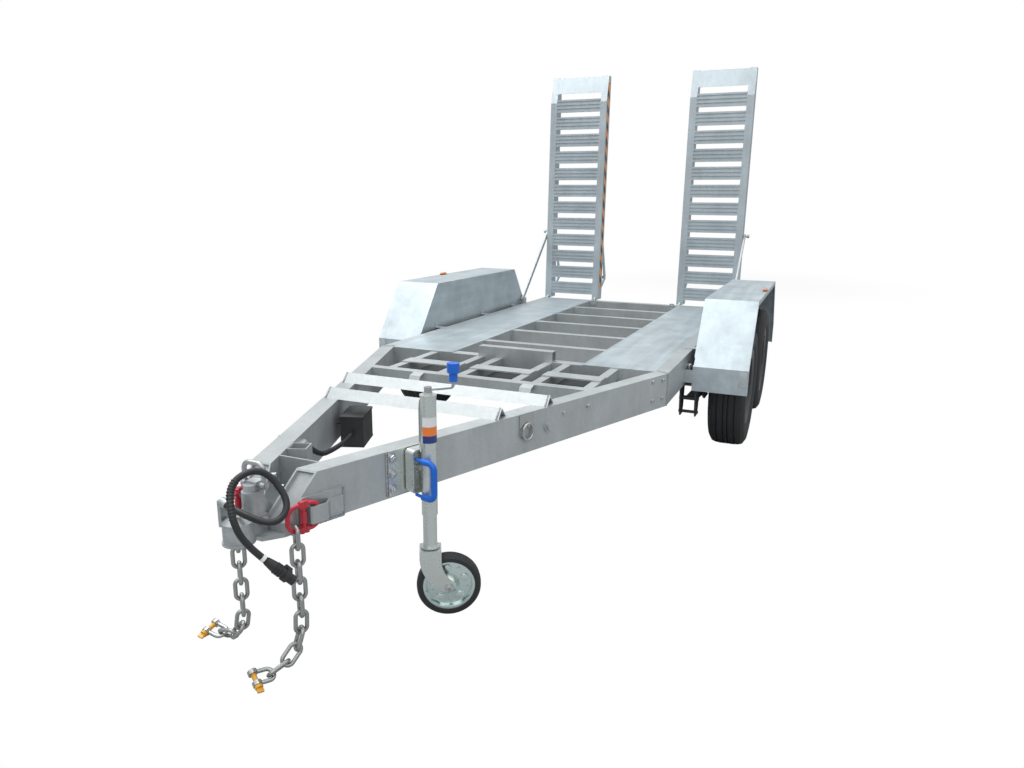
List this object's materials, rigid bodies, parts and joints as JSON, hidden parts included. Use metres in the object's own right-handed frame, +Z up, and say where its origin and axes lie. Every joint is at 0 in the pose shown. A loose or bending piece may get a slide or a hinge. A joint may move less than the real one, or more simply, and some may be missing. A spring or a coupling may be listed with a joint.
{
  "type": "plant trailer",
  "caption": "Galvanised tandem-axle plant trailer with a ball coupling, jockey wheel, tool bays and folding rear ramps.",
  "frame": {"origin": "on the ground under the middle of the trailer, between its mudguards and between its nose and its ramps", "axes": "+X to the right, +Y to the rear along the trailer, +Z up"},
  "size_m": [2.12, 4.7245, 2.25],
  "materials": {
    "galvanised": "hot-dip galvanised",
    "zinc": "bright zinc plated",
    "rubber": "matt black rubber",
    "red_paint": "glossy red",
    "yellow_paint": "glossy yellow",
    "blue_plastic": "glossy blue",
    "black_plastic": "matt black",
    "wheel_paint": "satin dark grey",
    "dark_steel": "dark grey"
  },
  "bodies": {
    "frame": {"angle_bars": "galvanised", "axle_front": "galvanised", "axle_rear": "galvanised", "brake_conduit": "black_plastic", "breakaway_box": "black_plastic", "bucket_rest": "galvanised", "chain_left": "zinc", "chain_right": "zinc", "coupling_body": "galvanised", "deck_front_crossmember": "galvanised", "deck_plate_left": "galvanised", "deck_plate_right": "galvanised", "deck_stringer_left": "galvanised", "deck_stringer_right": "galvanised", "drawbar_rail_left": "galvanised", "drawbar_rail_right": "galvanised", "electric_cable": "black_plastic", "electric_plug": "black_plastic", "front_crossmember": "galvanised", "hammerlock_left": "red_paint", "hammerlock_right": "red_paint", "jockey_clamp": "zinc", "lashing_link": "zinc", "lashing_ring": "zinc", "mudguard_left": "galvanised", "mudguard_right": "galvanised", "nose_plate": "galvanised", "rear_crossmember": "galvanised", "shackle_pins": "yellow_paint", "shackles": "zinc", "side_rail_left": "galvanised", "side_rail_right": "galvanised", "suspension_left": "dark_steel", "suspension_right": "dark_steel", "tool_bays": "galvanised", "tray_floor": "galvanised", "well_crossmembers": "galvanised"},
    "coupling_handle": {"coupling_handle": "zinc"},
    "wheel_front_left": {"wheel_front_left": "wheel_paint", "tyre_front_left": "rubber"},
    "wheel_front_right": {"wheel_front_right": "wheel_paint", "tyre_front_right": "rubber"},
    "wheel_rear_left": {"wheel_rear_left": "wheel_paint", "tyre_rear_left": "rubber"},
    "wheel_rear_right": {"wheel_rear_right": "wheel_paint", "tyre_rear_right": "rubber"},
    "ramp_left": {"ramp_left": "galvanised"},
    "ramp_right": {"ramp_right": "galvanised"},
    "ramp_stay_left": {"ramp_stay_left": "galvanised"},
    "ramp_stay_right": {"ramp_stay_right": "galvanised"},
    "jockey_leg": {"jockey_leg": "zinc", "jockey_grip": "blue_plastic"},
    "jockey_slide": {"jockey_inner": "zinc"},
    "jockey_caster": {"jockey_fork": "zinc"},
    "jockey_wheel": {"jockey_rim": "zinc", "jockey_tyre": "rubber"},
    "jockey_crank": {"jockey_crank": "zinc", "crank_knob": "blue_plastic"}
  },
  "joints": [
    {"name": "wheel_front_left_spin", "type": "hinge", "parent": "frame", "child": "wheel_front_left", "pos_m": [-0.95, 0.449, 0.325], "axis": [1, 0, 0], "continuous": true},
    {"name": "wheel_front_right_spin", "type": "hinge", "parent": "frame", "child": "wheel_front_right", "pos_m": [0.95, 0.449, 0.325], "axis": [1, 0, 0], "continuous": true},
    {"name": "wheel_rear_left_spin", "type": "hinge", "parent": "frame", "child": "wheel_rear_left", "pos_m": [-0.95, 1.259, 0.325], "axis": [1, 0, 0], "continuous": true},
    {"name": "wheel_rear_right_spin", "type": "hinge", "parent": "frame", "child": "wheel_rear_right", "pos_m": [0.95, 1.259, 0.325], "axis": [1, 0, 0], "continuous": true},
    {"name": "ramp_left_hinge", "type": "hinge", "parent": "frame", "child": "ramp_left", "pos_m": [-0.54, 2.035, 0.532], "axis": [-1, 0, 0], "range_deg": [0, 101]},
    {"name": "ramp_stay_left_hinge", "type": "hinge", "parent": "frame", "child": "ramp_stay_left", "pos_m": [-0.776, 1.583, 0.578], "axis": [-1, 0, 0], "range_deg": [0, 38]},
    {"name": "ramp_right_hinge", "type": "hinge", "parent": "frame", "child": "ramp_right", "pos_m": [0.54, 2.035, 0.532], "axis": [-1, 0, 0], "range_deg": [0, 101]},
    {"name": "ramp_stay_right_hinge", "type": "hinge", "parent": "frame", "child": "ramp_stay_right", "pos_m": [0.776, 1.583, 0.578], "axis": [-1, 0, 0], "range_deg": [0, 38]},
    {"name": "jockey_swing", "type": "hinge", "parent": "frame", "child": "jockey_leg", "pos_m": [0.24446, -1.78927, 0.48], "axis": [0.9346, -0.3556, 0], "range_deg": [0, 90]},
    {"name": "jockey_lift", "type": "slide", "parent": "jockey_leg", "child": "jockey_slide", "axis": [0, 0, 1], "range_m": [-0.08, 0.1]},
    {"name": "jockey_swivel", "type": "hinge", "parent": "jockey_slide", "child": "jockey_caster", "pos_m": [0.30241, -1.81132, 0.232], "axis": [0, 0, 1], "range_deg": [-140, 40]},
    {"name": "jockey_wheel_spin", "type": "hinge", "parent": "jockey_caster", "child": "jockey_wheel", "pos_m": [0.35202, -1.78325, 0.102], "axis": [-0.4924, 0.8704, 0], "continuous": true},
    {"name": "jockey_crank_spin", "type": "hinge", "parent": "jockey_leg", "child": "jockey_crank", "pos_m": [0.30241, -1.81132, 0.738], "axis": [0, 0, 1], "range_deg": [-4805, 6005]},
    {"name": "coupling_handle_lift", "type": "hinge", "parent": "frame", "child": "coupling_handle", "pos_m": [0, -2.225, 0.536], "axis": [-1, 0, 0], "range_deg": [0, 40]}
  ],
  "couplings": [
    {"joint": "jockey_crank_spin", "follows": "jockey_lift", "rad_per_m": 1047.2}
  ]
}
